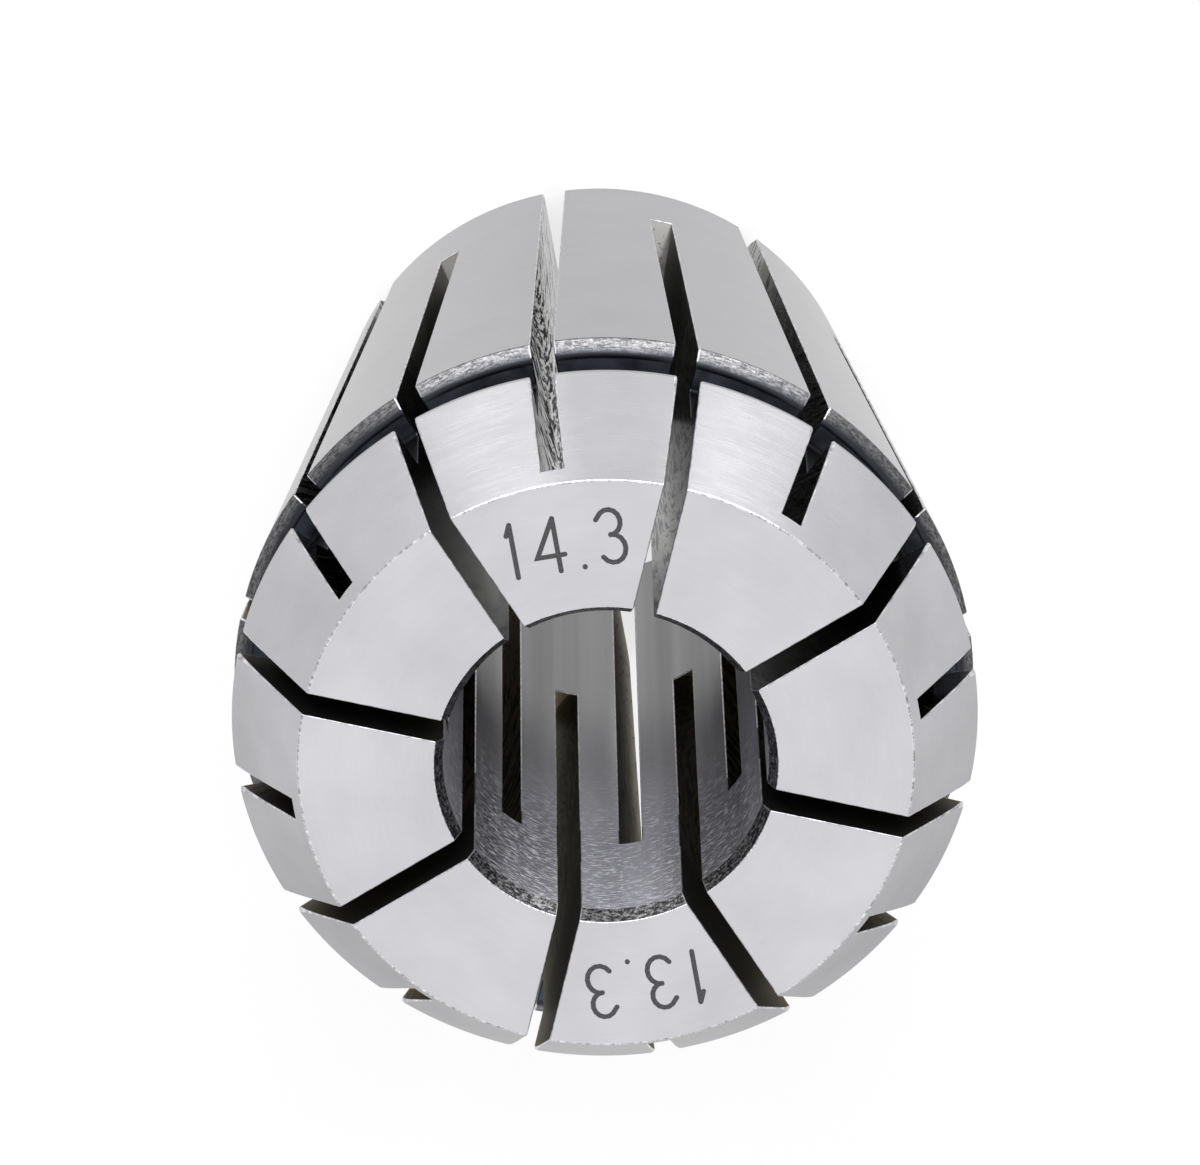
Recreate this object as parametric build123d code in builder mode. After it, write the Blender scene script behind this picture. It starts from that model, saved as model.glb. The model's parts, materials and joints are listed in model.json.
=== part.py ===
from build123d import *
import os
from math import radians, sqrt, tan

# A spring collet: one steel sleeve with a long taper for the chuck, a short taper for the nut
# and a groove for the nut's extractor ring. Saw cuts from both ends, set alternately round the
# sleeve, let it close on a shank along its whole length.
# The rear end stands on Z = 0, the clamping face is at Z = length, and the axis is Z.

# Turned outline
length = 40.0
major_diameter = 33.0
long_taper_angle = 8.0
face_diameter = 27.0
short_taper_angle = 30.0
flange_diameter = 33.0
flange_land = 0.25
groove_width = 3.4
groove_diameter = 29.2
groove_corner_radius = 0.2
shoulder_chamfer_radial = 0.6
shoulder_chamfer_axial = 0.45
rear_chamfer = 0.4
face_edge_break = 0.12

# Bore, for a 9/16 inch shank
bore_diameter = 9 / 16 * 25.4
mouth_chamfer_radial = 0.4
mouth_chamfer_axial = 0.6

# Saw cuts
slots_per_end = 8
slot_width = 1.0
saw_diameter = 63.0
front_slot_depth_at_bore = 24.25
front_saw_overrun = 2.05
rear_slot_land_at_bore = 7.5
rear_saw_overrun = 6.1

# Heights and radii that follow from the outline
bore_radius = bore_diameter / 2
mouth_radius = bore_radius + mouth_chamfer_radial
major_radius = major_diameter / 2
flange_radius = flange_diameter / 2
face_radius = face_diameter / 2
groove_radius = groove_diameter / 2
flange_edge_z = length - (flange_radius - face_radius) / tan(radians(short_taper_angle))
groove_front_z = flange_edge_z - flange_land
shoulder_z = groove_front_z - groove_width
major_edge_z = shoulder_z - shoulder_chamfer_axial
rear_radius = major_radius - major_edge_z * tan(radians(long_taper_angle))

# The saw is a disc whose centre stays outside the sleeve. It is fed along the axis, and its
# rim passes the bore wall by the overrun, so each slot ends in an arc.
saw_radius = saw_diameter / 2
front_saw_x = bore_radius - front_saw_overrun + saw_radius
front_saw_sag = sqrt(saw_radius**2 - (front_saw_x - bore_radius) ** 2)
front_saw_z = length - front_slot_depth_at_bore + front_saw_sag
rear_saw_x = bore_radius - rear_saw_overrun + saw_radius
rear_saw_sag = sqrt(saw_radius**2 - (rear_saw_x - bore_radius) ** 2)
rear_saw_z = length - rear_slot_land_at_bore - rear_saw_sag

# Path of the saw in from the clamping face, as a slice of slot width on the XZ plane
with BuildPart() as front_saw_cut:
    with BuildSketch(Plane.XZ):
        with Locations((front_saw_x, front_saw_z)):
            Circle(saw_radius)
            Rectangle(saw_diameter, saw_diameter, align=(Align.CENTER, Align.MIN))
    extrude(amount=slot_width / 2, both=True)

# Path of the saw in from the rear end
with BuildPart() as rear_saw_cut:
    with BuildSketch(Plane.XZ):
        with Locations((rear_saw_x, rear_saw_z)):
            Circle(saw_radius)
            Rectangle(saw_diameter, saw_diameter, align=(Align.CENTER, Align.MAX))
    extrude(amount=slot_width / 2, both=True)

with BuildPart() as collet:
    # Half section of the turned sleeve, from the bore at the rear end up to the clamping face
    with BuildSketch(Plane.XZ) as section:
        with BuildLine():
            Polyline(
                (bore_radius, mouth_chamfer_axial),
                (mouth_radius, 0),
                (rear_radius, 0),
                (major_radius, major_edge_z),
                (major_radius - shoulder_chamfer_radial, shoulder_z),
                (groove_radius, shoulder_z),
                (groove_radius, groove_front_z),
                (flange_radius, groove_front_z),
                (flange_radius, flange_edge_z),
                (face_radius, length),
                (mouth_radius, length),
                (bore_radius, length - mouth_chamfer_axial),
                close=True,
            )
        make_face()
        rear_rim = section.vertices().group_by(Axis.Y)[0].sort_by(Axis.X)[-1]
        chamfer(rear_rim, length=rear_chamfer)
        face_rim = section.vertices().group_by(Axis.Y)[-1].sort_by(Axis.X)[-1]
        fillet(face_rim, radius=face_edge_break)
        groove_corners = section.vertices().filter_by_position(
            Axis.X, groove_radius - groove_corner_radius, groove_radius + groove_corner_radius
        )
        fillet(groove_corners, radius=groove_corner_radius)
    revolve(axis=Axis.Z)

    with PolarLocations(0, slots_per_end):
        add(front_saw_cut.part, mode=Mode.SUBTRACT)
    with PolarLocations(0, slots_per_end, start_angle=180 / slots_per_end):
        add(rear_saw_cut.part, mode=Mode.SUBTRACT)

collet.part.label = "collet"

os.makedirs("parts", exist_ok=True)
export_step(collet.part, "parts/collet.step")
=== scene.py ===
"""Looks of the collet: a fine mesh of the slotted sleeve with rounded edges, its ground, blackened and
saw-cut surfaces, two size numbers, a white floor, soft studio light and the camera."""

import json
import math

import bmesh
import bpy
from mathutils import Matrix, Vector


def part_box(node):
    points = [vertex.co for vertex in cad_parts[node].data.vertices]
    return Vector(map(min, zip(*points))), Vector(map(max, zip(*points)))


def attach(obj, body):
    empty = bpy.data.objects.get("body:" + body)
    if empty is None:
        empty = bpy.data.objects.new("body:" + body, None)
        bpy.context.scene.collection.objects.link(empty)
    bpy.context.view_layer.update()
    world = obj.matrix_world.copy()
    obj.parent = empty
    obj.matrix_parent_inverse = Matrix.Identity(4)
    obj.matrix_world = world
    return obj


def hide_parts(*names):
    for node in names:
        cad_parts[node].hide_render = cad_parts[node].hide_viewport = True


MM = 0.001

# ---------------------------------------------------------------- sizes, in millimetres
# The frame gives the length, the bore and the flange. The rest is the same turned outline.
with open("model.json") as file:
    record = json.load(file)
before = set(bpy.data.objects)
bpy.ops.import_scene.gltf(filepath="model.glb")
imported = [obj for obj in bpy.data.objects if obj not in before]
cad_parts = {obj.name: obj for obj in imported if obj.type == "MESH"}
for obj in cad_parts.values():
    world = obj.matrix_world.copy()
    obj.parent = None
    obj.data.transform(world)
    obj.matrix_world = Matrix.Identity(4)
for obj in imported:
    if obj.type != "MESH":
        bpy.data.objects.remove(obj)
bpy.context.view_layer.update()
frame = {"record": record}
LOW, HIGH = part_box("collet")
BORE_MOUNT = next(m for m in frame["record"]["mounts"] if m["name"] == "bore")

LENGTH = (HIGH[2] - LOW[2]) / MM
BORE_RADIUS = BORE_MOUNT["dims"]["r_mm"]
MOUTH_CHAMFER_AXIAL = (LENGTH - BORE_MOUNT["dims"]["length_mm"]) / 2
MOUTH_CHAMFER_RADIAL = 0.4
MOUTH_RADIUS = BORE_RADIUS + MOUTH_CHAMFER_RADIAL
SLOT_HALF = 0.5
MAJOR_RADIUS = math.hypot(HIGH[0] / MM, SLOT_HALF)
FLANGE_RADIUS = MAJOR_RADIUS
FACE_RADIUS = 13.5
SHORT_TAPER = math.radians(30.0)
LONG_TAPER = math.radians(8.0)
FLANGE_LAND = 0.25
GROOVE_WIDTH = 3.4
GROOVE_RADIUS = 14.6
SHOULDER_CHAMFER_RADIAL = 0.6
SHOULDER_CHAMFER_AXIAL = 0.45
REAR_CHAMFER = 0.4

FLANGE_Z = LENGTH - (FLANGE_RADIUS - FACE_RADIUS) / math.tan(SHORT_TAPER)
GROOVE_FRONT_Z = FLANGE_Z - FLANGE_LAND
SHOULDER_Z = GROOVE_FRONT_Z - GROOVE_WIDTH
MAJOR_Z = SHOULDER_Z - SHOULDER_CHAMFER_AXIAL
REAR_RADIUS = MAJOR_RADIUS - MAJOR_Z * math.tan(LONG_TAPER)

SLOTS = 8
HALF_PITCH = math.pi / SLOTS
SAW_RADIUS = 31.5
FRONT_SLOT_DEPTH_AT_BORE = 24.25
FRONT_SAW_OVERRUN = 2.05
REAR_SLOT_LAND_AT_BORE = 7.5
REAR_SAW_OVERRUN = 6.1
FRONT_SAW_X = BORE_RADIUS - FRONT_SAW_OVERRUN + SAW_RADIUS
FRONT_END_AT_BORE = LENGTH - FRONT_SLOT_DEPTH_AT_BORE
REAR_SAW_X = BORE_RADIUS - REAR_SAW_OVERRUN + SAW_RADIUS
REAR_END_AT_BORE = LENGTH - REAR_SLOT_LAND_AT_BORE

# ---------------------------------------------------------------- how finely the mesh is made
STATION_STEP = 0.75
SECTOR_COLUMNS = 12
SLOT_END_COLUMNS = 2
BREAK_STEPS = 3
CORNER_STEPS = 4
RIM_STEPS = 12
WELD = 0.0004
CROSSING_HALVINGS = 50
# Stations stay this many edge roundings away from a slot's end
END_CLEARANCE = 4

# Deburred slot edges: a small rounding, larger at the flange and at the shoulder
SLOT_BREAK = 0.06
FLANGE_BREAK = 0.17
SHOULDER_BREAK = 0.09
BREAK_FADE = 0.7

# The slots whose bearing has a larger sine than this lie on the side away from the key lamp,
# and get a brown wall that mirrors less: painted shade
SHADED_ABOVE_SINE = -0.1

# The face lies this far under the CAD's, so that the film of the etched numbers ends inside the box.
# The film reaches as far into the steel.
ETCH_PROUD = 0.012
FACE_Z = LENGTH - ETCH_PROUD

REGIONS = (
    "face",
    "rim",
    "short_taper",
    "groove",
    "shoulder",
    "long_taper",
    "rear",
    "bore",
    "mouth",
    "wall",
    "stained_wall",
    "slot_edge",
)
REGION_INDEX = {name: i for i, name in enumerate(REGIONS)}


def unit(a, b):
    """Direction from a to b in the half section, and the distance."""
    d = math.hypot(b[0] - a[0], b[1] - a[1])
    return ((b[0] - a[0]) / d, (b[1] - a[1]) / d), d


def section_corners():
    """Corners of the half section as (radius, height, edge rounding, region of the run that follows).
    They go out over the clamping face, down the outside, in under the rear end and up the bore."""
    foot = REAR_CHAMFER * math.tan(LONG_TAPER)
    return [
        (BORE_RADIUS, LENGTH - MOUTH_CHAMFER_AXIAL, 0.03, "mouth"),
        (MOUTH_RADIUS, FACE_Z, 0.06, "face"),
        (FACE_RADIUS, FACE_Z, 0.12, "short_taper"),
        (FLANGE_RADIUS, FLANGE_Z, 0.06, "short_taper"),
        (FLANGE_RADIUS, GROOVE_FRONT_Z, 0.06, "groove"),
        (GROOVE_RADIUS, GROOVE_FRONT_Z, 0.2, "groove"),
        (GROOVE_RADIUS, SHOULDER_Z, 0.2, "groove"),
        (MAJOR_RADIUS - SHOULDER_CHAMFER_RADIAL, SHOULDER_Z, 0.6, "shoulder"),
        (MAJOR_RADIUS, MAJOR_Z, 0.1, "long_taper"),
        (REAR_RADIUS + foot, REAR_CHAMFER, 0.08, "rear"),
        (REAR_RADIUS - REAR_CHAMFER, 0.0, 0.05, "rear"),
        (MOUTH_RADIUS, 0.0, 0.05, "mouth"),
        (BORE_RADIUS, MOUTH_CHAMFER_AXIAL, 0.03, "bore"),
    ]


class Saw:
    """One set of slots: the blade's centre in a slot's own plane, and which way it came from."""

    def __init__(self, centre_x, end_at_bore, towards):
        self.x = centre_x
        sag = math.sqrt(SAW_RADIUS**2 - (centre_x - BORE_RADIUS) ** 2)
        self.towards = towards  # +1: fed in from the clamping face, -1: from the rear end
        self.z = end_at_bore + towards * sag

    def depth(self, r, z):
        """How far inside the cut a point of the half section lies, along the axis."""
        arc = self.z - self.towards * math.sqrt(SAW_RADIUS**2 - (self.x - r) ** 2)
        return (z - arc) * self.towards


SAWS = {
    "front": Saw(FRONT_SAW_X, FRONT_END_AT_BORE, 1),
    "rear": Saw(REAR_SAW_X, REAR_END_AT_BORE, -1),
}


def slot_break(r, z):
    """Rounding of a slot's edge where it crosses the outline at (r, z)."""
    flange = math.hypot(r - FLANGE_RADIUS, z - FLANGE_Z)
    shoulder = math.hypot(r - MAJOR_RADIUS, z - MAJOR_Z)
    return (
        SLOT_BREAK
        + (FLANGE_BREAK - SLOT_BREAK) * math.exp(-flange / BREAK_FADE)
        + (SHOULDER_BREAK - SLOT_BREAK) * math.exp(-shoulder / BREAK_FADE)
    )


class Station:
    """A point of the outline with its outward normal, and how the outline looks from below it."""

    def __init__(self, r, z, normal, region, ease, corner=None):
        self.r, self.z, self.normal, self.region = r, z, normal, region
        self.corner = corner  # (centre, rounding, mitre direction) on a convex corner
        self.ease = ease
        self.inside = {name: saw.depth(r, z) > 0 for name, saw in SAWS.items()}
        self.end_of = None

    def below(self, depth):
        """The outline's own offset at a depth under the surface."""
        if self.corner:
            centre, rounding, mitre = self.corner
            if depth <= rounding:
                k = rounding - depth
                return centre[0] + k * self.normal[0], centre[1] + k * self.normal[1]
            k = depth - rounding
            return centre[0] - k * mitre[0], centre[1] - k * mitre[1]
        return self.r - depth * self.normal[0], self.z - depth * self.normal[1]


class SlotEnd:
    """Where a slot runs out on the outer cone or in the bore: the end point and the way onward."""

    def __init__(self, r, z, normal, onward):
        self.r, self.z, self.normal, self.onward = r, z, normal, onward
        self.ease = slot_break(r, z)

    def at(self, turn):
        """Point of the rounded end edge in the half section, from the surface down to the rim."""
        on = self.ease * (1 - math.sin(turn))
        down = self.ease * (1 - math.cos(turn))
        return (
            self.r + on * self.onward[0] - down * self.normal[0],
            self.z + on * self.onward[1] - down * self.normal[1],
        )


def crossing(saw, a, b):
    """Fraction of the run from a to b at which the saw's rim crosses it, or None."""
    f0, f1 = saw.depth(*a), saw.depth(*b)
    if f0 * f1 > 0:
        return None
    low, high = 0.0, 1.0
    for _ in range(CROSSING_HALVINGS):
        mid = (low + high) / 2
        f = saw.depth(a[0] + (b[0] - a[0]) * mid, a[1] + (b[1] - a[1]) * mid)
        if f * f0 > 0:
            low = mid
        else:
            high = mid
    return (low + high) / 2


def make_stations():
    """Stations all round the half section, with a row just past each slot end."""
    corners = section_corners()
    n = len(corners)
    directions = [unit(corners[i], corners[(i + 1) % n])[0] for i in range(n)]
    stations = []
    trims = []
    rounds = []
    for i in range(n):
        d1, d2 = directions[i - 1], directions[i]
        n1, n2 = (-d1[1], d1[0]), (-d2[1], d2[0])
        turn = math.atan2(d1[0] * d2[1] - d1[1] * d2[0], d1[0] * d2[0] + d1[1] * d2[1])
        rounding = corners[i][2]
        trim = rounding * math.tan(abs(turn) / 2)
        trims.append(trim)
        convex = turn < 0
        side = -1 if convex else 1
        start = (corners[i][0] - d1[0] * trim, corners[i][1] - d1[1] * trim)
        centre = (start[0] + side * n1[0] * rounding, start[1] + side * n1[1] * rounding)
        scale = 1 + n1[0] * n2[0] + n1[1] * n2[1]
        mitre = ((n1[0] + n2[0]) / scale, (n1[1] + n2[1]) / scale)
        angle1 = math.atan2(n1[1], n1[0])
        ease = slot_break(*corners[i][:2])
        arc = []
        for step in range(CORNER_STEPS + 1):
            angle = angle1 + turn * step / CORNER_STEPS
            normal = (math.cos(angle), math.sin(angle))
            point = (centre[0] - side * rounding * normal[0], centre[1] - side * rounding * normal[1])
            region = corners[i][3] if step == CORNER_STEPS else corners[i - 1][3]
            if (region, corners[i][3]) in (("face", "short_taper"), ("mouth", "face")):
                region = "rim"
            if corners[i][3] == "shoulder":
                region = "shoulder"
            corner = (centre, rounding, mitre) if convex else None
            arc.append(Station(*point, normal, region, ease, corner))
        rounds.append(arc)
    for i in range(n):
        stations += rounds[i]
        a = (rounds[i][-1].r, rounds[i][-1].z)
        nxt = rounds[(i + 1) % n][0]
        b = (nxt.r, nxt.z)
        d, run = unit(a, b)
        normal = (-d[1], d[0])
        ends = []
        for name, saw in SAWS.items():
            t = crossing(saw, a, b)
            if t is not None:
                r, z = a[0] + (b[0] - a[0]) * t, a[1] + (b[1] - a[1]) * t
                sense = -1 if saw.depth(*b) > 0 else 1
                ends.append((t * run, name, SlotEnd(r, z, normal, (d[0] * sense, d[1] * sense)), sense))
        steps = max(1, round(run / STATION_STEP))
        marks = [(run * k / steps, None, None) for k in range(1, steps)]
        for s, name, end, sense in ends:
            marks = [m for m in marks if m[1] or abs(m[0] - s) > END_CLEARANCE * end.ease]
            marks.append((s + sense * end.ease, name, end))
        for s, name, end in sorted(marks, key=lambda m: m[0]):
            r, z = a[0] + d[0] * s, a[1] + d[1] * s
            station = Station(r, z, normal, corners[i][3], end.ease if end else slot_break(r, z))
            if name:
                station.end_of = (name, end)
                station.inside[name] = False
            stations.append(station)
    return stations


class Corners:
    """Collects faces with a normal at each of their corners, to be welded into one mesh."""

    def __init__(self):
        self.points, self.faces, self.normals, self.regions = [], [], [], []

    def face(self, loop, region):
        first = len(self.points)
        self.points += [p for p, _ in loop]
        self.normals.append([n for _, n in loop])
        self.faces.append(tuple(range(first, first + len(loop))))
        self.regions.append(REGION_INDEX[region])

    def grid(self, rows, region):
        """Quads between neighbouring rows of (point, normal)."""
        for low, high in zip(rows, rows[1:]):
            for k in range(len(low) - 1):
                self.face([low[k], low[k + 1], high[k + 1], high[k]], region)

    def mesh(self, name):
        mesh = bpy.data.meshes.new(name)
        mesh.from_pydata([[c * MM for c in p] for p in self.points], [], self.faces)
        mesh.polygons.foreach_set("material_index", self.regions)
        wanted = mesh.attributes.new("wanted_normal", "FLOAT_VECTOR", "CORNER")
        wanted.data.foreach_set("vector", [c for face in self.normals for n in face for c in n])
        work = bmesh.new()
        work.from_mesh(mesh)
        bmesh.ops.remove_doubles(work, verts=work.verts, dist=WELD * MM)
        bmesh.ops.recalc_face_normals(work, faces=work.faces)
        work.to_mesh(mesh)
        work.free()
        mesh.shade_smooth()
        mesh.normals_split_custom_set([d.vector for d in mesh.attributes["wanted_normal"].data])
        mesh.attributes.remove(mesh.attributes["wanted_normal"])
        return mesh


def build_half_sector(out, stations, front_angle, side):
    """The material between the middle of a front slot and the middle of the next rear slot.
    side is +1 where the rear slot comes next counter-clockwise, and -1 clockwise."""
    rear_angle = front_angle + side * HALF_PITCH

    def turned(station, theta):
        nr, nz = station.normal
        c, s = math.cos(theta), math.sin(theta)
        return (station.r * c, station.r * s, station.z), (nr * c, nr * s, nz)

    def local(angle, sense, x, y, z):
        c, s = math.cos(angle), math.sin(angle)
        return x * c - sense * y * s, x * s + sense * y * c, z

    # Turned surfaces between the two slots
    columns = []
    for station in stations:
        edge = math.asin((SLOT_HALF + station.ease) / station.r)
        span = HALF_PITCH - 2 * edge
        columns.append(
            [
                turned(station, front_angle + side * (edge + span * k / SECTOR_COLUMNS))
                for k in range(SECTOR_COLUMNS + 1)
            ]
        )
    count = len(stations)
    for i in range(count):
        j = (i + 1) % count
        out.grid([columns[i], columns[j]], stations[i].region)

    for name, angle, sense in (("front", front_angle, side), ("rear", rear_angle, -side)):
        saw = SAWS[name]
        # Slots on the side away from the key lamp get the wall with painted shade
        wall = "stained_wall" if math.sin(angle) > SHADED_ABOVE_SINE else "wall"
        inside = [s.inside[name] for s in stations]

        def across(station):
            row = []
            for k in range(SLOT_END_COLUMNS + 1):
                y = (SLOT_HALF + station.ease) * k / SLOT_END_COLUMNS
                row.append(turned(station, angle + sense * math.asin(y / station.r)))
            return row

        # The surface past the slot's ends, from the slot's middle plane to the sector's edge
        for i in range(count):
            j = (i + 1) % count
            if not inside[i] and not inside[j]:
                out.grid([across(stations[i]), across(stations[j])], stations[i].region)

        # Rounded edges along the slot's two long sides
        def edge_column(station):
            column = []
            for k in range(BREAK_STEPS + 1):
                turn = math.pi / 2 * k / BREAK_STEPS
                y = SLOT_HALF + station.ease * (1 - math.sin(turn))
                if station.end_of and station.end_of[0] == name:
                    r, z = station.end_of[1].at(turn)
                    nr, nz = station.end_of[1].normal
                else:
                    r, z = station.below(station.ease * (1 - math.cos(turn)))
                    nr, nz = station.normal
                x = math.sqrt(r * r - y * y)
                c, s = math.cos(turn), math.sin(turn)
                normal = local(angle, sense, nr * c, -s, nz * c)
                column.append((local(angle, sense, x, y, z), normal))
            return column

        start = next(i for i in range(count) if inside[i] and not inside[i - 1])
        ring = [(start - 1 + k) % count for k in range(count)]
        run = [ring[0]]
        for i in ring[1:]:
            run.append(i)
            if not inside[i]:
                break
        side_columns = [edge_column(stations[i]) for i in run]
        out.grid(side_columns, "slot_edge")

        # Rounded end edges, and the saw's round rim between them
        ends = [stations[run[0]].end_of[1], stations[run[-1]].end_of[1]]
        rim_ends = []
        for end in ends:
            rows = []
            for k in range(BREAK_STEPS + 1):
                turn = math.pi / 2 * k / BREAK_STEPS
                r, z = end.at(turn)
                edge_y = SLOT_HALF + end.ease * (1 - math.sin(turn))
                c, s = math.cos(turn), math.sin(turn)
                nr = end.normal[0] * c - end.onward[0] * s
                nz = end.normal[1] * c - end.onward[1] * s
                normal = local(angle, sense, nr, 0, nz)
                row = []
                for m in range(SLOT_END_COLUMNS + 1):
                    y = edge_y * m / SLOT_END_COLUMNS
                    row.append((local(angle, sense, math.sqrt(r * r - y * y), y, z), normal))
                rows.append(row)
            out.grid(rows, "slot_edge")
            rim_ends.append(end.at(math.pi / 2))

        def rim_row(x, z, radial):
            row = []
            nx, nz = (saw.x - x) / SAW_RADIUS, (saw.z - z) / SAW_RADIUS
            for m in range(SLOT_END_COLUMNS + 1):
                y = SLOT_HALF * m / SLOT_END_COLUMNS
                px = math.sqrt(x * x - y * y) if radial else x
                row.append((local(angle, sense, px, y, z), local(angle, sense, nx, 0, nz)))
            return row

        bearings = [math.atan2(z - saw.z, math.sqrt(r * r - SLOT_HALF**2) - saw.x) for r, z in rim_ends]
        sweep = (bearings[1] - bearings[0] + math.pi) % (2 * math.pi) - math.pi
        rim = [rim_row(*rim_ends[0], True)]
        for k in range(1, RIM_STEPS):
            bearing = bearings[0] + sweep * k / RIM_STEPS
            x = saw.x + SAW_RADIUS * math.cos(bearing)
            z = saw.z + SAW_RADIUS * math.sin(bearing)
            rim.append(rim_row(x, z, False))
        rim.append(rim_row(*rim_ends[1], True))
        out.grid(rim, wall)

        # Flat wall that the saw's side left
        flat = local(angle, sense, 0, -1, 0)
        loop = [(column[-1][0], flat) for column in side_columns]
        loop += [(row[-1][0], flat) for row in reversed(rim[1:-1])]
        distinct = []
        for p in loop:
            if not distinct or (Vector(p[0]) - Vector(distinct[-1][0])).length > WELD:
                distinct.append(p)
        out.face(distinct, wall)


def build_sleeve():
    stations = make_stations()
    out = Corners()
    for k in range(SLOTS):
        for side in (1, -1):
            build_half_sector(out, stations, 2 * HALF_PITCH * k, side)
    mesh = out.mesh("collet_sleeve")
    sleeve = bpy.data.objects.new("collet_sleeve", mesh)
    bpy.context.scene.collection.objects.link(sleeve)
    return sleeve


# ---------------------------------------------------------------- materials
class Tree:
    """Writes a node tree as expressions."""

    def __init__(self, owner):
        owner.use_nodes = True
        self.nodes, self.links = owner.node_tree.nodes, owner.node_tree.links
        self.nodes.clear()

    def add(self, kind, **settings):
        node = self.nodes.new(kind)
        for name, value in settings.items():
            setattr(node, name, value)
        return node

    def put(self, socket, value):
        if isinstance(value, bpy.types.NodeSocket):
            self.links.new(value, socket)
        else:
            socket.default_value = value

    def math(self, operation, *values):
        node = self.add("ShaderNodeMath", operation=operation)
        for socket, value in zip(node.inputs, values):
            self.put(socket, value)
        return node.outputs[0]

    def vector(self, operation, *values):
        node = self.add("ShaderNodeVectorMath", operation=operation)
        for socket, value in zip(node.inputs, values):
            self.put(socket, value)
        return node.outputs["Value" if operation == "LENGTH" else "Vector"]

    def scaled(self, vector, factor):
        node = self.add("ShaderNodeVectorMath", operation="SCALE")
        self.put(node.inputs["Vector"], vector)
        self.put(node.inputs["Scale"], factor)
        return node.outputs["Vector"]

    def combine(self, x, y, z):
        node = self.add("ShaderNodeCombineXYZ")
        for socket, value in zip(node.inputs, (x, y, z)):
            self.put(socket, value)
        return node.outputs[0]

    def noise(self, vector, scale=1.0, detail=2.0, roughness=0.5):
        node = self.add("ShaderNodeTexNoise", noise_dimensions="3D")
        self.put(node.inputs["Vector"], vector)
        node.inputs["Scale"].default_value = scale
        node.inputs["Detail"].default_value = detail
        node.inputs["Roughness"].default_value = roughness
        return node.outputs["Fac"]

    def fit(self, value, low, high, to_low=0.0, to_high=1.0, smooth=False):
        node = self.add("ShaderNodeMapRange", interpolation_type="SMOOTHSTEP" if smooth else "LINEAR")
        self.put(node.inputs["Value"], value)
        self.put(node.inputs["From Min"], low)
        self.put(node.inputs["From Max"], high)
        self.put(node.inputs["To Min"], to_low)
        self.put(node.inputs["To Max"], to_high)
        return node.outputs[0]

    def blend(self, a, b, share):
        """share of a, and the rest of b."""
        return self.math("ADD", self.math("MULTIPLY", a, share), self.math("MULTIPLY", b, 1 - share))

    def choose(self, switch, off, on):
        """The number off where the switch is 0, and on where it is 1."""
        node = self.add("ShaderNodeMix", data_type="FLOAT")
        self.put(node.inputs["Factor"], switch)
        for name, value in (("A", off), ("B", on)):
            self.put(next(s for s in node.inputs if s.name == name and s.type == "VALUE"), value)
        return node.outputs[0]

    def mix(self, factor, a, b):
        node = self.add("ShaderNodeMix", data_type="RGBA")
        self.put(node.inputs["Factor"], factor)
        for name, colour in (("A", a), ("B", b)):
            socket = next(s for s in node.inputs if s.name == name and s.type == "RGBA")
            self.put(socket, colour if isinstance(colour, bpy.types.NodeSocket) else (*colour, 1.0))
        return next(s for s in node.outputs if s.type == "RGBA")

    def grey(self, value, tint=(1.0, 1.0, 1.0)):
        return self.combine(*[self.math("MULTIPLY", value, t) for t in tint])


class Steel(Tree):
    """A material on the sleeve, with the sleeve's own coordinates in millimetres."""

    def __init__(self, name):
        self.material = bpy.data.materials.new(name)
        super().__init__(self.material)
        here = self.scaled(self.add("ShaderNodeTexCoord").outputs["Object"], 1 / MM)
        self.here = here
        split = self.add("ShaderNodeSeparateXYZ")
        self.put(split.inputs[0], here)
        self.z = split.outputs["Z"]
        flat = self.combine(split.outputs["X"], split.outputs["Y"], 0.0)
        self.radius = self.vector("LENGTH", flat)
        self.around = self.vector("NORMALIZE", flat)
        self.shader = self.add("ShaderNodeBsdfPrincipled")
        output = self.add("ShaderNodeOutputMaterial")
        self.put(output.inputs["Surface"], self.shader.outputs[0])

    def lines(self, along, density, run, detail=2.0, roughness=0.6):
        """Fine marks that run round the axis: density is marks per millimetre across them,
        and run is how fast they change on the way round."""
        shift = self.combine(0.0, 0.0, self.math("MULTIPLY", along, density))
        return self.noise(self.vector("ADD", self.scaled(self.around, run), shift), 1.0, detail, roughness)

    def finish(self, colour, roughness, bump, height, metallic=1.0):
        """height is the bump's depth in millimetres."""
        self.put(self.shader.inputs["Base Color"], colour)
        self.put(self.shader.inputs["Roughness"], roughness)
        self.put(self.shader.inputs["Metallic"], metallic)
        node = self.add("ShaderNodeBump")
        node.inputs["Strength"].default_value = 1.0
        node.inputs["Distance"].default_value = height * MM
        self.put(node.inputs["Height"], bump)
        self.put(self.shader.inputs["Normal"], node.outputs[0])
        return self.material


STEEL_TINT = (0.985, 0.976, 1.02)
# Height at which the bore's painted reflection is brightest and the slot walls are marked most
HEART_Z = 24.0


def ground_steel(
    name, along, brightness, density, run, contrast, gloss, height, cloud=0.04, edge=1.0, spread=0.05
):
    """Turned or ground steel: fine marks round the axis over a faint cloudiness.
    edge is how much of the mirror image is left at a grazing angle, spread how far the gloss varies."""
    s = Steel(name)
    across = {"radius": s.radius, "z": s.z}[along]
    fine = s.lines(across, density, run, 3.0, 0.7)
    coarse = s.lines(across, density / 6, run / 3)
    marks = s.blend(fine, coarse, 0.7)
    clouds = s.noise(s.here, 0.22, 3.0)
    streaky = s.fit(marks, 0.3, 0.7, brightness - contrast, brightness + contrast)
    level = s.math("ADD", streaky, s.fit(clouds, 0.3, 0.7, -cloud, cloud))
    rough = s.fit(marks, 0.3, 0.7, gloss - spread, gloss + spread)
    s.shader.inputs["Specular Tint"].default_value = (edge, edge, edge, 1.0)
    return s.finish(s.grey(level, STEEL_TINT), rough, marks, height)


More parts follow.
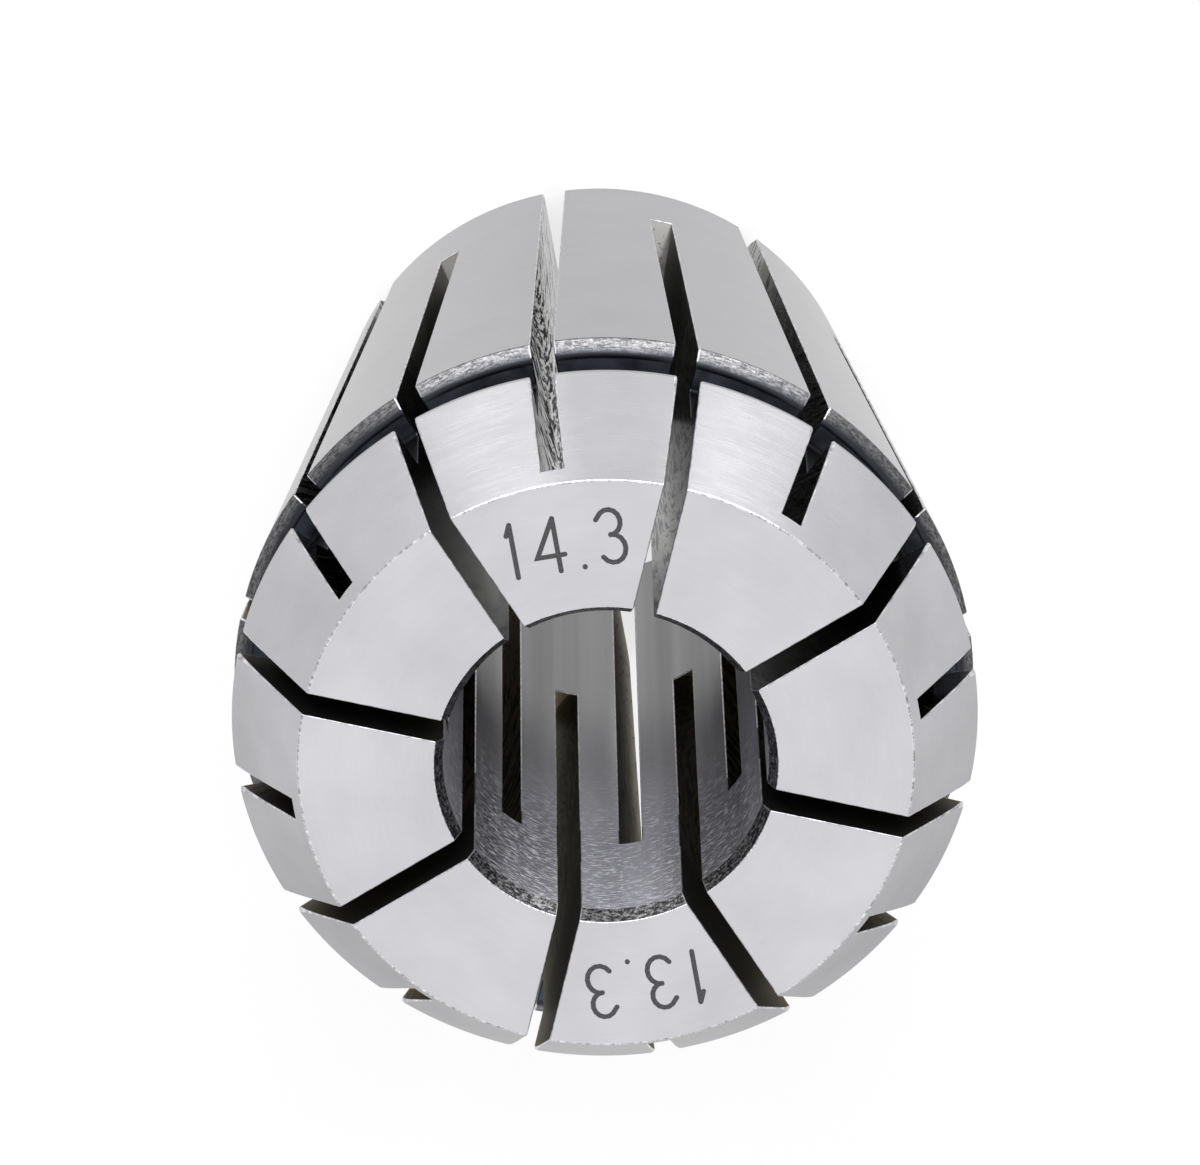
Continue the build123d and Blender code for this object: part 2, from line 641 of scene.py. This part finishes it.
def face_steel():
    return ground_steel(
        "face_steel",
        "radius",
        brightness=0.62,
        density=14.0,
        run=9.0,
        contrast=0.02,
        gloss=0.36,
        height=0.0015,
    )


def short_taper_steel():
    return ground_steel(
        "short_taper_steel",
        "z",
        brightness=0.5,
        density=18.0,
        run=9.0,
        contrast=0.012,
        gloss=0.25,
        height=0.0004,
        edge=0.64,
    )


def long_taper_steel():
    return ground_steel(
        "long_taper_steel",
        "z",
        brightness=0.325,
        density=12.0,
        run=9.0,
        contrast=0.005,
        gloss=0.26,
        height=0.0001,
        cloud=0.012,
        spread=0.02,
    )


def rear_steel():
    return ground_steel(
        "rear_steel",
        "radius",
        brightness=0.5,
        density=14.0,
        run=9.0,
        contrast=0.02,
        gloss=0.38,
        height=0.0015,
    )


def groove_steel():
    """Left black by the hardening, with a few worn specks. Towards its floor it goes near black: painted
    shade.
    """
    s = Steel("groove_black")
    patches = s.noise(s.here, 0.9, 4.0)
    specks = s.fit(s.lines(s.z, 9.0, 60.0, 3.0), 0.66, 0.8)
    dark = s.mix(s.fit(patches, 0.35, 0.65), (0.068, 0.075, 0.095), (0.12, 0.13, 0.163))
    # Near the groove's floor the colour turns near black: painted shade in the bottom of the groove.
    wall = s.fit(s.radius, GROOVE_RADIUS + 0.05, GROOVE_RADIUS + 0.4, smooth=True)
    colour = s.mix(wall, (0.012, 0.012, 0.014), s.mix(specks, dark, (0.22, 0.22, 0.25)))
    return s.finish(colour, s.fit(patches, 0.3, 0.7, 0.42, 0.55), patches, 0.004)


def shoulder_steel():
    """The rounded shoulder behind the groove: a dark skin worn bright in fine streaks."""
    s = Steel("shoulder_steel")
    streaks = s.lines(s.z, 20.0, 50.0, 3.0, 0.65)
    grit = s.noise(s.here, 10.0, 3.0, 0.65)
    marks = s.blend(streaks, grit, 0.6)
    level = s.fit(marks, 0.42, 0.62, 0.08, 0.3)
    inner = MAJOR_RADIUS - SHOULDER_CHAMFER_RADIAL
    skin_width = 0.42
    wave = s.fit(s.noise(s.here, 0.8, 3.0), 0.3, 0.7, -0.05, 0.05)
    worn = s.fit(s.math("ADD", s.radius, wave), inner, inner + skin_width, smooth=True)
    colour = s.mix(worn, (0.04, 0.042, 0.05), s.grey(level, STEEL_TINT))
    return s.finish(colour, s.fit(marks, 0.3, 0.7, 0.36, 0.26), marks, 0.005)


def bore_steel():
    """Dark from hardening, with sharp round scratches towards the mouth, which throw the light upward.
    Painted reflections lighten it in soft stripes round the bore and at mid-depth, and a painted glint
    lightens the scratches.
    """
    s = Steel("bore_steel")
    scratch = s.lines(s.z, 15.0, 18.0, 2.5, 0.6)
    mouth_side = s.fit(s.z, LENGTH - 27.0, LENGTH - 9.0, smooth=True)
    # Real scratches near the mouth, carried by the bump, whose light colour is a painted glint.
    nick_glint_zone = s.fit(s.z, LENGTH - 19.0, LENGTH - 5.0, smooth=True)
    nicks_and_glints = s.math("MULTIPLY", s.fit(scratch, 0.535, 0.65), nick_glint_zone)
    # Soft stripes round the bore: painted reflections of the slots.
    slot_reflection_bands = s.noise(s.scaled(s.around, 4.0), 1.0, 3.0)
    # A lighter band round HEART_Z: painted reflection of the light that comes up the bore from the rear.
    off_heart = s.math("ABSOLUTE", s.math("SUBTRACT", s.z, HEART_Z))
    mid_depth_reflection = s.fit(off_heart, 2.0, 11.0, 0.13, 0.0, smooth=True)
    level = s.math("ADD", s.fit(slot_reflection_bands, 0.35, 0.65, 0.23, 0.38), mid_depth_reflection)
    skin = s.mix(mouth_side, s.grey(level), s.grey(level, (0.76, 0.76, 0.84)))
    colour = s.mix(nicks_and_glints, skin, (0.72, 0.72, 0.76))
    # The scratches spread light along the bore far more than round it
    s.shader.inputs["Anisotropic"].default_value = 1.0
    s.shader.inputs["Anisotropic Rotation"].default_value = 0.25
    turn = s.add("ShaderNodeTangent", direction_type="RADIAL", axis="Z")
    s.put(s.shader.inputs["Tangent"], turn.outputs[0])
    s.shader.inputs["Specular Tint"].default_value = (0.84, 0.84, 0.84, 1.0)
    return s.finish(colour, s.fit(mouth_side, 0.0, 1.0, 0.2, 0.44), nicks_and_glints, 0.03)


def mouth_steel():
    """The bore's chamfer: dark, with light specks where the tool chattered."""
    s = Steel("mouth_steel")
    chatter = s.lines(s.z, 11.0, 26.0, 2.0, 0.6)
    pits = s.noise(s.here, 10.0, 2.0, 0.6)
    marks = s.blend(chatter, pits, 0.6)
    level = s.fit(marks, 0.45, 0.64, 0.03, 0.32)
    return s.finish(s.grey(level, STEEL_TINT), 0.36, marks, 0.005)


def rim_steel():
    """The hair-thin edge between face and short taper, with a few glints painted into its colour as light
    dashes.
    """
    s = Steel("rim_steel")
    beads_and_glints = s.noise(s.scaled(s.around, 55.0), 1.0, 3.0, 0.7)
    # Light dashes round the rim: painted glints.
    level = s.fit(beads_and_glints, 0.35, 0.7, 0.35, 0.98)
    return s.finish(s.grey(level, STEEL_TINT), 0.25, beads_and_glints, 0.01)


def saw_cut_steel(name, unshaded_colour, deep_shade_colour, face_colour, unshaded_gloss, edge):
    """Slot walls with the arcs of the blade's teeth. They turn to face_colour just under the clamping face,
    and deep in a front slot to a colour without polish that is painted shade. edge tints the image at a
    grazing angle."""
    s = Steel(name)
    inward = s.math("SQRT", s.math("SUBTRACT", s.math("MULTIPLY", s.radius, s.radius), SLOT_HALF**2))
    arcs = {}
    for end, saw in SAWS.items():
        dx = s.math("SUBTRACT", inward, saw.x)
        dz = s.math("SUBTRACT", s.z, saw.z)
        arcs[end] = s.vector("LENGTH", s.combine(dx, dz, 0.0))
    # A front slot lies on a multiple of the pitch: there the cosine of the slot count times the bearing is 1
    split = s.add("ShaderNodeSeparateXYZ")
    s.put(split.inputs[0], s.around)
    bearing = s.math("ARCTAN2", split.outputs["Y"], split.outputs["X"])
    front = s.math("GREATER_THAN", s.math("COSINE", s.math("MULTIPLY", bearing, float(SLOTS))), 0.0)
    arc = s.choose(front, arcs["rear"], arcs["front"])

    # Tooth marks follow the arcs. lit is 0 in a mark or a pit, and 1 on the steel between them
    drift = s.noise(s.here, 0.3, 3.0)
    across = s.math("MULTIPLY", s.math("ADD", arc, s.math("MULTIPLY", drift, 1.5)), 4.0)
    marks = s.noise(s.combine(across, s.math("MULTIPLY", s.z, 0.35), 0.0), 1.0, 3.0, 0.6)
    pits = s.noise(s.here, 5.0, 2.0)
    off_heart = s.math("ABSOLUTE", s.math("SUBTRACT", s.z, HEART_Z))
    heart = s.fit(off_heart, 3.0, 14.0, 0.075, 0.0, smooth=True)
    lit = s.math("MULTIPLY", s.fit(s.math("SUBTRACT", marks, heart), 0.36, 0.46), s.fit(pits, 0.32, 0.36))

    # Deep inside a front slot the wall turns dark and unpolished as painted shade, but not on the slot's
    # end, where the arc is the saw's own rim
    drifting_z = s.math("ADD", s.z, drift)
    off_end = s.fit(arc, SAW_RADIUS - 0.15, SAW_RADIUS - 0.3)
    deep = s.math("MULTIPLY", front, s.fit(drifting_z, 27.0, 19.0, smooth=True))
    unshaded = s.math("SUBTRACT", 1.0, s.math("MULTIPLY", deep, off_end))
    mark_colour = s.mix(front, (0.03, 0.028, 0.024), (0.085, 0.083, 0.08))
    face_side = s.fit(drifting_z, LENGTH - 7.0, LENGTH - 3.5, smooth=True)
    skin = s.mix(face_side, unshaded_colour, face_colour)
    colour = s.mix(lit, mark_colour, s.mix(unshaded, deep_shade_colour, skin))

    smooth_marks = s.math("MAXIMUM", lit, s.math("MULTIPLY", front, 0.75))
    end_polish = s.fit(off_end, 0.0, 1.0, 0.6, 1.0)
    polish = s.math("MULTIPLY", s.math("MULTIPLY", smooth_marks, unshaded), end_polish)
    polish = s.math("MULTIPLY", polish, s.fit(front, 0.0, 1.0, 1.0, 0.8))
    s.shader.inputs["Specular Tint"].default_value = (*edge, 1.0)
    return s.finish(colour, s.fit(polish, 0.0, 1.0, 0.45, unshaded_gloss), marks, 0.006)


def wall_steel():
    return saw_cut_steel(
        "slot_wall",
        unshaded_colour=(0.2, 0.196, 0.188),
        # Near black deep in a front slot: painted shade
        deep_shade_colour=(0.03, 0.028, 0.025),
        face_colour=(0.2, 0.196, 0.188),
        unshaded_gloss=0.13,
        edge=(1.0, 1.0, 1.0),
    )


def shaded_wall_steel():
    """The slots on the side away from the key lamp: a brown, rougher wall that mirrors less at a grazing
    angle, as painted shade.
    """
    return saw_cut_steel(
        "stained_slot_wall",
        unshaded_colour=(0.29, 0.266, 0.22),
        deep_shade_colour=(0.24, 0.222, 0.185),
        face_colour=(0.08, 0.08, 0.084),
        unshaded_gloss=0.4,
        edge=(0.48, 0.45, 0.39),
    )


def edge_steel():
    """Deburred slot edges: bright, a little ragged."""
    s = Steel("slot_edge")
    ragged = s.noise(s.here, 2.2, 4.0, 0.7)
    level = s.fit(ragged, 0.35, 0.65, 0.25, 0.7)
    in_groove = s.math(
        "MULTIPLY",
        s.math("GREATER_THAN", s.z, SHOULDER_Z - 0.1),
        s.math("LESS_THAN", s.z, GROOVE_FRONT_Z - 0.05),
    )
    colour = s.mix(in_groove, s.grey(level, STEEL_TINT), (0.035, 0.04, 0.055))
    return s.finish(colour, 0.3, ragged, 0.01)


def etched_ink():
    """Laser-etched marks: a dull dark grey."""
    s = Steel("etched_mark")
    grain = s.noise(s.here, 12.0, 3.0)
    colour = s.mix(s.fit(grain, 0.3, 0.7), (0.036, 0.034, 0.038), (0.084, 0.079, 0.086))
    return s.finish(colour, 0.65, grain, 0.002, metallic=0.3)


SLEEVE_MATERIALS = {
    "face": face_steel,
    "rim": rim_steel,
    "short_taper": short_taper_steel,
    "groove": groove_steel,
    "shoulder": shoulder_steel,
    "long_taper": long_taper_steel,
    "rear": rear_steel,
    "bore": bore_steel,
    "mouth": mouth_steel,
    "wall": wall_steel,
    "stained_wall": shaded_wall_steel,
    "slot_edge": edge_steel,
}


def dress_sleeve(sleeve):
    for region in REGIONS:
        sleeve.data.materials.append(SLEEVE_MATERIALS[region]())


# ---------------------------------------------------------------- size numbers on the face
DIGIT_HEIGHT = 2.5
DIGIT_WIDTH = 1.15
DIGIT_GAP = 0.62
STROKE = 0.22
ARC_POINTS = 10
CAP_STEPS = 8
# The least cosine of half a bend for which a stroke keeps its width
MITRE_LIMIT = 0.5
# The first stroke of a figure ends this far under the CAD's face, and each next one a layer lower,
# so that no two tops coincide
FILM_TOP_GAP = 0.001
FILM_LAYER = 0.002
TOP_MARK = ("14.3", math.radians(-67.5))
BOTTOM_MARK = ("13.3", math.radians(112.5))
MARK_RADIUS = 10.7


def arc_points(cx, cy, rx, ry, start, end):
    """Points on an ellipse, angles in degrees."""
    points = []
    for k in range(ARC_POINTS + 1):
        angle = math.radians(start + (end - start) * k / ARC_POINTS)
        points.append((cx + rx * math.cos(angle), cy + ry * math.sin(angle)))
    return points


# Single-line digits in a box 1 wide and 1 high
DIGITS = {
    "1": [[(0.5, 0.0), (0.5, 1.0)], [(0.5, 1.0), (0.2, 0.8)]],
    "3": [
        [(0.04, 0.84)] + arc_points(0.5, 0.76, 0.44, 0.24, 150, -90)[1:],
        arc_points(0.5, 0.265, 0.48, 0.265, 90, -150),
    ],
    "4": [[(0.76, 0.0), (0.76, 1.0)], [(0.76, 1.0), (0.0, 0.3), (1.0, 0.3)]],
    ".": [[(0.5, 0.0), (0.5, 0.012)]],
}
WIDTHS = {"1": 0.6, "3": 1.0, "4": 1.05, ".": 0.25}


def stroke_outline(points, half):
    """Outline of a round-ended stroke along a line of points: left side, right side, last cap, first cap."""
    left, right = [], []
    for i, (x, y) in enumerate(points):
        before = points[max(i - 1, 0)]
        after = points[min(i + 1, len(points) - 1)]
        d1 = Vector((x - before[0], y - before[1]))
        d2 = Vector((after[0] - x, after[1] - y))
        d1 = d1.normalized() if d1.length else d2.normalized()
        d2 = d2.normalized() if d2.length else d1
        mean = (d1 + d2).normalized()
        reach = half / max(mean.dot(d1), MITRE_LIMIT)
        left.append((x - mean.y * reach, y + mean.x * reach))
        right.append((x + mean.y * reach, y - mean.x * reach))

    def round_end(centre, start):
        angles = [start - math.pi * k / CAP_STEPS for k in range(1, CAP_STEPS)]
        return [(centre[0] + half * math.cos(a), centre[1] + half * math.sin(a)) for a in angles]

    first = math.atan2(points[1][1] - points[0][1], points[1][0] - points[0][0])
    last = math.atan2(points[-1][1] - points[-2][1], points[-1][0] - points[-2][0])
    return left, right, round_end(points[-1], last + math.pi / 2), round_end(points[0], first - math.pi / 2)


def etched_number(name, text, bearing):
    """A number on the clamping face, its top towards the rim."""
    widths = [WIDTHS[c] * DIGIT_WIDTH for c in text]
    total = sum(widths) + DIGIT_GAP * (len(text) - 1)
    mesh = bpy.data.meshes.new(name)
    work = bmesh.new()
    cursor = -total / 2
    out = Vector((math.cos(bearing), math.sin(bearing)))
    across = Vector((out.y, -out.x))
    for c, width in zip(text, widths):
        for layer, line in enumerate(DIGITS[c]):
            top = LENGTH - FILM_TOP_GAP - layer * FILM_LAYER
            path = [(cursor + x * width, (y - 0.5) * DIGIT_HEIGHT) for x, y in line]
            left, right, end_cap, start_cap = stroke_outline(path, STROKE / 2)

            def vertex(p):
                place = out * (MARK_RADIUS + p[1]) + across * p[0]
                return work.verts.new((place.x * MM, place.y * MM, top * MM))

            lv, rv = [vertex(p) for p in left], [vertex(p) for p in right]
            for k in range(len(lv) - 1):
                work.faces.new((lv[k], rv[k], rv[k + 1], lv[k + 1]))
            work.faces.new([lv[-1]] + [vertex(p) for p in end_cap] + [rv[-1]])
            work.faces.new([rv[0]] + [vertex(p) for p in start_cap] + [lv[0]])
        cursor += width + DIGIT_GAP
    bmesh.ops.recalc_face_normals(work, faces=work.faces)
    for face in work.faces:
        if face.normal.z < 0:
            face.normal_flip()
    # Sides down into the steel, so that the mark is a thin solid film sunk in the face
    made = bmesh.ops.extrude_face_region(work, geom=work.faces[:])
    for v in [g for g in made["geom"] if isinstance(g, bmesh.types.BMVert)]:
        v.co.z = (FACE_Z - ETCH_PROUD) * MM
    bmesh.ops.recalc_face_normals(work, faces=work.faces)
    work.to_mesh(mesh)
    work.free()
    piece = bpy.data.objects.new(name, mesh)
    bpy.context.scene.collection.objects.link(piece)
    mesh.materials.append(etched_ink())
    return piece


# ---------------------------------------------------------------- floor, light and camera
FLOOR_SIZE = 6.0
FLOOR_WHITE = 0.95
# How much of the floor's own glow replaces its paint for the rays that show the background
FLOOR_LIFT = 0.75
WORLD_STRENGTH = 0.7


def seen_directly(tree):
    """1 for the rays that show the background: camera, mirror and see-through rays."""
    path = tree.add("ShaderNodeLightPath")
    seen = tree.math("MAXIMUM", path.outputs["Is Camera Ray"], path.outputs["Is Glossy Ray"])
    return tree.math("MAXIMUM", seen, path.outputs["Is Transmission Ray"])


def make_floor():
    half = FLOOR_SIZE / 2
    mesh = bpy.data.meshes.new("floor")
    corners = [(-half, -half, 0), (half, -half, 0), (half, half, 0), (-half, half, 0)]
    mesh.from_pydata(corners, [], [(0, 1, 2, 3)])
    floor = bpy.data.objects.new("floor", mesh)
    bpy.context.scene.collection.objects.link(floor)
    material = bpy.data.materials.new("white_floor")
    tree = Tree(material)
    paint = tree.add("ShaderNodeBsdfDiffuse")
    paint.inputs["Color"].default_value = (FLOOR_WHITE, FLOOR_WHITE, FLOOR_WHITE, 1.0)
    glow = tree.add("ShaderNodeEmission")
    glow.inputs["Strength"].default_value = 1.0
    mix = tree.add("ShaderNodeMixShader")
    tree.put(mix.inputs[0], tree.math("MULTIPLY", seen_directly(tree), FLOOR_LIFT))
    tree.put(mix.inputs[1], paint.outputs[0])
    tree.put(mix.inputs[2], glow.outputs[0])
    output = tree.add("ShaderNodeOutputMaterial")
    tree.put(output.inputs["Surface"], mix.outputs[0])
    mesh.materials.append(material)


def make_world():
    world = bpy.data.worlds.new("studio")
    bpy.context.scene.world = world
    tree = Tree(world)
    glow = tree.add("ShaderNodeBackground")
    glow.inputs["Color"].default_value = (1.0, 1.0, 1.0, 1.0)
    glow.inputs["Strength"].default_value = WORLD_STRENGTH
    output = tree.add("ShaderNodeOutputWorld")
    tree.put(output.inputs["Surface"], glow.outputs[0])


def soft_box(name, bearing, elevation, distance, width, height, radiance):
    """A rectangular lamp that faces the collet, given by the radiance of its front."""
    light = bpy.data.lights.new(name, "AREA")
    light.shape = "RECTANGLE"
    light.size, light.size_y = width, height
    light.energy = radiance * math.pi * width * height
    lamp = bpy.data.objects.new(name, light)
    b, h = math.radians(bearing), math.radians(elevation)
    way = Vector((math.cos(b) * math.cos(h), math.sin(b) * math.cos(h), math.sin(h)))
    lamp.location = Vector((0, 0, LENGTH * MM / 2)) + way * distance
    lamp.rotation_euler = way.to_track_quat("Z", "Y").to_euler()
    bpy.context.scene.collection.objects.link(lamp)


# The camera's lens, place and turn about its own line of sight, and what it sees in metres
LENS = 285.2
SENSOR = 36.0
CLIP_NEAR = 0.01
CLIP_FAR = 20.0
CAMERA_PLACE = Vector((41.273, -162.893, 420.358)) * MM
CAMERA_AIM = Vector((0.147, -0.310, 20.0)) * MM
CAMERA_ROLL = math.radians(178.565)


def make_camera():
    data = bpy.data.cameras.new("camera")
    data.lens, data.sensor_width = LENS, SENSOR
    data.clip_start, data.clip_end = CLIP_NEAR, CLIP_FAR
    camera = bpy.data.objects.new("camera", data)
    camera.location = CAMERA_PLACE
    sight = CAMERA_AIM - CAMERA_PLACE
    upright = sight.to_track_quat("-Z", "Y").to_matrix()
    camera.rotation_euler = (upright @ Matrix.Rotation(CAMERA_ROLL, 3, "Z")).to_euler()
    bpy.context.scene.collection.objects.link(camera)
    bpy.context.scene.camera = camera


# ---- SCENE
make_camera()
make_world()
make_floor()
soft_box("overhead", bearing=104.0, elevation=67.0, distance=0.7, width=1.1, height=1.1, radiance=0.35)
soft_box("key", bearing=-78.0, elevation=38.0, distance=0.8, width=1.15, height=0.62, radiance=3.1)
soft_box("left_box", bearing=-52.0, elevation=7.0, distance=0.8, width=0.34, height=0.3, radiance=3.2)
soft_box("right_box", bearing=-111.0, elevation=7.0, distance=0.8, width=0.34, height=0.3, radiance=4.4)

sleeve = build_sleeve()
dress_sleeve(sleeve)
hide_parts("collet")
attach(sleeve, "root")
for piece in (etched_number("bore_size_mark", *TOP_MARK), etched_number("closed_size_mark", *BOTTOM_MARK)):
    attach(piece, "root")

bpy.context.scene.view_settings.view_transform = "Standard"
